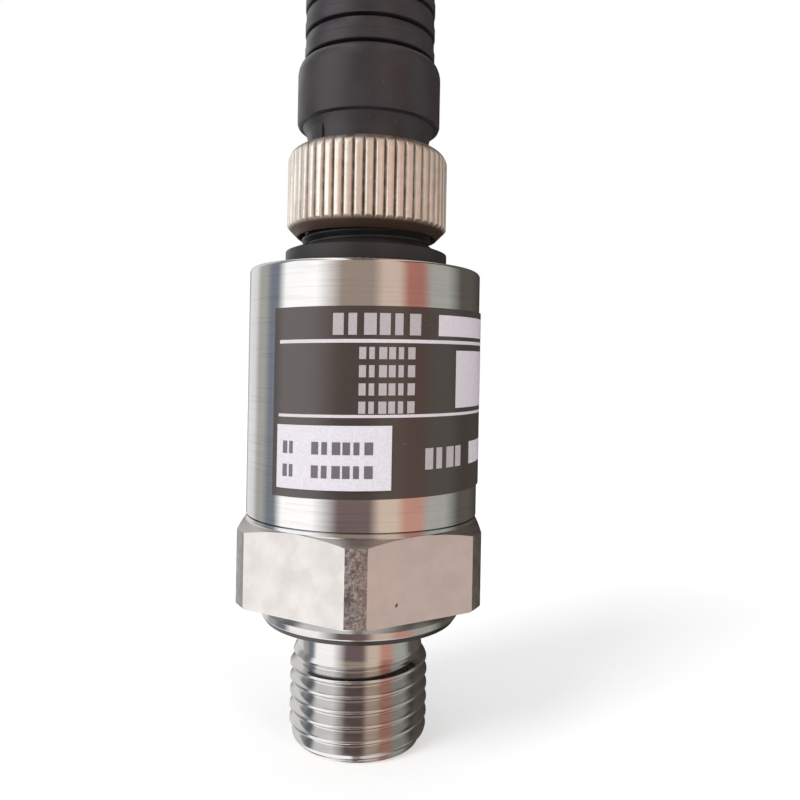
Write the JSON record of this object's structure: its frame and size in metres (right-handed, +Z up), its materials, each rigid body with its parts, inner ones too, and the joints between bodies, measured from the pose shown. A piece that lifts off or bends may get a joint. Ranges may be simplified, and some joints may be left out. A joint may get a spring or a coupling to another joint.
{
  "type": "pressure transmitter",
  "caption": "Screw-in pressure transmitter: threaded port with hexagon, round can, and a cable connector held by a knurled nut.",
  "frame": {"origin": "centre of the process thread's end face, the lowest point of the part", "axes": "+Z up along the axis, from the thread to the cable outlet; -Y is the front, with a corner of the hexagon and the nameplate"},
  "size_m": [0.0221, 0.0244, 0.0808],
  "materials": {
    "stainless": "turned stainless steel, fine rings",
    "can_steel": "turned stainless steel, satin",
    "nickel_plated_brass": "nickel-plated brass, knurled",
    "black_moulding": "moulded black polyurethane, satin",
    "plug_moulding": "moulded black nylon",
    "insert_moulding": "moulded black nylon",
    "seal_rubber": "black fluorocarbon rubber",
    "alumina": "fired alumina",
    "clamp_steel": "turned steel",
    "holder_plastic": "moulded natural plastic",
    "board_laminate": "green solder mask",
    "chip_case": "black moulded chip case",
    "capacitor_ceramic": "fired ceramic",
    "tinned_wire": "tinned",
    "red_wire": "red insulation",
    "black_wire": "black insulation",
    "label_film": "dark printed film, glossy",
    "sticker_paper": "white coated paper",
    "gold_contact": "gold-plated"
  },
  "bodies": {
    "transmitter": {"process_connection": "stainless", "process_seal_ring": "seal_rubber", "cell_o_ring": "seal_rubber", "pressure_sensor_cell": "alumina", "sensor_clamp_ring": "clamp_steel", "cell_leads": "tinned_wire", "board_holder": "holder_plastic", "circuit_board": "board_laminate", "signal_chip": "chip_case", "output_transistor": "chip_case", "board_capacitors": "capacitor_ceramic", "supply_wire": "red_wire", "output_wire": "black_wire", "housing_can": "can_steel", "nameplate_label": "label_film", "wiring_sticker": "sticker_paper", "plug_base": "plug_moulding", "plug_seal_ring": "seal_rubber", "plug_lock_nut": "clamp_steel", "contact_pins": "gold_contact"},
    "cable_connector": {"connector_insert": "insert_moulding", "socket_contacts": "gold_contact", "face_seal": "seal_rubber", "strain_relief_boot": "black_moulding"},
    "nut": {"coupling_nut": "nickel_plated_brass"}
  },
  "joints": [
    {"name": "connector_lift", "type": "slide", "parent": "transmitter", "child": "cable_connector", "axis": [0, 0, 1], "range_m": [0, 0.006]},
    {"name": "nut_turn", "type": "hinge", "parent": "cable_connector", "child": "nut", "pos_m": [0, 0, 0.052], "axis": [0, 0, 1], "range_deg": [0, 2160]}
  ],
  "couplings": [
    {"joint": "connector_lift", "follows": "nut_turn", "m_per_rad": 0.00015915}
  ]
}
